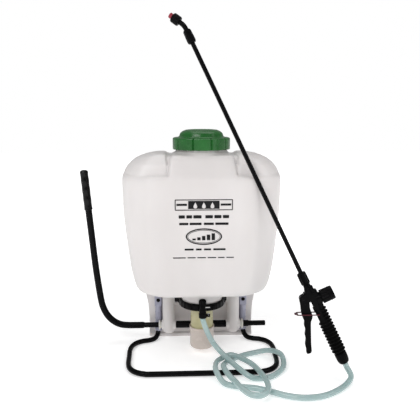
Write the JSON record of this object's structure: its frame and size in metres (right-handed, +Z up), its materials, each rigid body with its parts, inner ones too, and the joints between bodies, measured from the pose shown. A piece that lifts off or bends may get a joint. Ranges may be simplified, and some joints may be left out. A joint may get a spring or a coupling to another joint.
{
  "type": "backpack sprayer",
  "caption": "Knapsack sprayer: a moulded tank on a tubular stand, with a side lever that works a pump under the tank, and a trigger lance on a coiled hose.",
  "frame": {"origin": "on the ground, at the middle of the box that holds the sprayer without its hose", "axes": "+Z up; +Y towards the wearer's back, out of the strap side; +X to the right of somebody facing the label side, where the lance lies"},
  "size_m": [0.5934, 0.3971, 0.759],
  "materials": {
    "tank_white": "translucent natural polyethylene, satin",
    "cap_green": "moulded green plastic, semi-gloss",
    "strainer_grey": "moulded mesh basket",
    "black_plastic": "moulded black plastic, satin",
    "black_steel": "black powder coat, semi-gloss",
    "bright_steel": "zinc-plated steel",
    "rubber": "black rubber",
    "pump_amber": "translucent amber plastic",
    "pump_cup_pale": "translucent pale pinkish plastic",
    "natural_plastic": "natural moulded plastic",
    "sleeve_grey": "moulded lavender-grey plastic",
    "grip_vinyl": "dipped black vinyl, glossy",
    "hose_pale": "translucent pale blue-green braided PVC",
    "webbing": "woven black polypropylene",
    "pad_fabric": "black woven cover over foam",
    "latch_red": "dark red coated wire",
    "nozzle_red": "moulded red plastic"
  },
  "bodies": {
    "tank": {"tank_shell": "tank_white", "base_skirt": "tank_white", "strainer_basket": "strainer_grey", "pump_ring_nut": "black_plastic", "pump_gasket": "rubber", "pump_barrel": "pump_amber", "piston_seal": "rubber", "pressure_chamber": "natural_plastic", "outlet_elbow": "black_plastic", "hose_clamp": "black_plastic", "clamp_screw": "bright_steel", "hose": "hose_pale", "shaft_bush_left": "sleeve_grey", "shaft_bush_right": "sleeve_grey", "stand_tube": "black_steel", "stand_sleeve_left": "sleeve_grey", "stand_sleeve_right": "sleeve_grey", "stand_screw_left": "black_steel", "stand_screw_right": "black_steel", "strap_bracket": "black_plastic", "shoulder_pad_left": "pad_fabric", "shoulder_pad_right": "pad_fabric", "upper_webbing_left": "webbing", "upper_webbing_right": "webbing", "lower_webbing_left": "webbing", "lower_webbing_right": "webbing", "strap_buckle_left": "black_plastic", "strap_buckle_right": "black_plastic", "strap_hook_left": "bright_steel", "strap_hook_right": "bright_steel", "hose_nut": "black_plastic", "grip_sleeve": "rubber", "handle_body": "black_plastic", "trigger_pin": "bright_steel", "valve_cap": "black_plastic", "valve_seat_washer": "rubber", "valve_spring": "bright_steel", "lance_nut_lower": "black_plastic", "lance_tube": "black_steel", "lance_nut_upper": "black_plastic", "nozzle_elbow": "black_plastic"},
    "cap_seal": {"cap_gasket": "rubber"},
    "cap": {"filler_cap": "cap_green"},
    "valve_ball": {"valve_ball": "bright_steel"},
    "cup": {"pump_cup": "pump_cup_pale"},
    "lever": {"pump_shaft": "black_steel", "shaft_collar": "black_steel", "crank_rocker": "black_steel", "crank_pin": "bright_steel", "lever_tube": "black_steel", "lever_bolt": "bright_steel", "lever_grip": "grip_vinyl"},
    "trigger": {"trigger_lever": "black_plastic"},
    "stem": {"valve_stem": "bright_steel"},
    "latch": {"lock_latch": "latch_red"},
    "nozzle": {"nozzle_cap": "black_plastic", "nozzle_tip": "nozzle_red"}
  },
  "joints": [
    {"name": "lever_swing", "type": "hinge", "parent": "tank", "child": "lever", "pos_m": [-0.0123, 0.0754, 0.0405], "axis": [-1, 0, 0], "range_deg": [0, 68]},
    {"name": "pump_stroke", "type": "slide", "parent": "tank", "child": "cup", "axis": [0, 0, 1], "range_m": [0, 0.0336]},
    {"name": "cap_lift", "type": "slide", "parent": "tank", "child": "cap_seal", "axis": [0, 0, 1], "range_m": [0, 0.01205]},
    {"name": "cap_turn", "type": "hinge", "parent": "cap_seal", "child": "cap", "pos_m": [-0.0123, 0.0094, 0.49], "axis": [0, 0, 1], "range_deg": [0, 720]},
    {"name": "valve_ball_lift", "type": "slide", "parent": "tank", "child": "valve_ball", "axis": [0, 0, 1], "range_m": [0, 0.004]},
    {"name": "trigger_squeeze", "type": "hinge", "parent": "tank", "child": "trigger", "pos_m": [0.19716, -0.11673, 0.17039], "axis": [-0.123, -0.988, 0.0934], "range_deg": [0, 9.9], "stiffness_Nm_per_rad": 1.2, "springref_deg": -14.32},
    {"name": "valve_stem_push", "type": "slide", "parent": "tank", "child": "stem", "axis": [0.8974, -0.0706, 0.4356], "range_m": [0, 0.0021], "deforming": ["valve_spring"]},
    {"name": "latch_swing", "type": "hinge", "parent": "tank", "child": "latch", "pos_m": [0.23109, -0.12388, 0.13952], "axis": [-0.123, -0.988, 0.0934], "range_deg": [0, 40]},
    {"name": "nozzle_turn", "type": "hinge", "parent": "tank", "child": "nozzle", "pos_m": [-0.05815, -0.03097, 0.74133], "axis": [-0.7986, 0.1544, 0.5818], "range_deg": [0, 180]}
  ],
  "couplings": [
    {"joint": "pump_stroke", "follows": "lever_swing", "m_per_rad": 0.02827},
    {"joint": "cap_lift", "follows": "cap_turn", "m_per_rad": 0.00095493},
    {"joint": "valve_stem_push", "follows": "trigger_squeeze", "m_per_rad": 0.012}
  ]
}
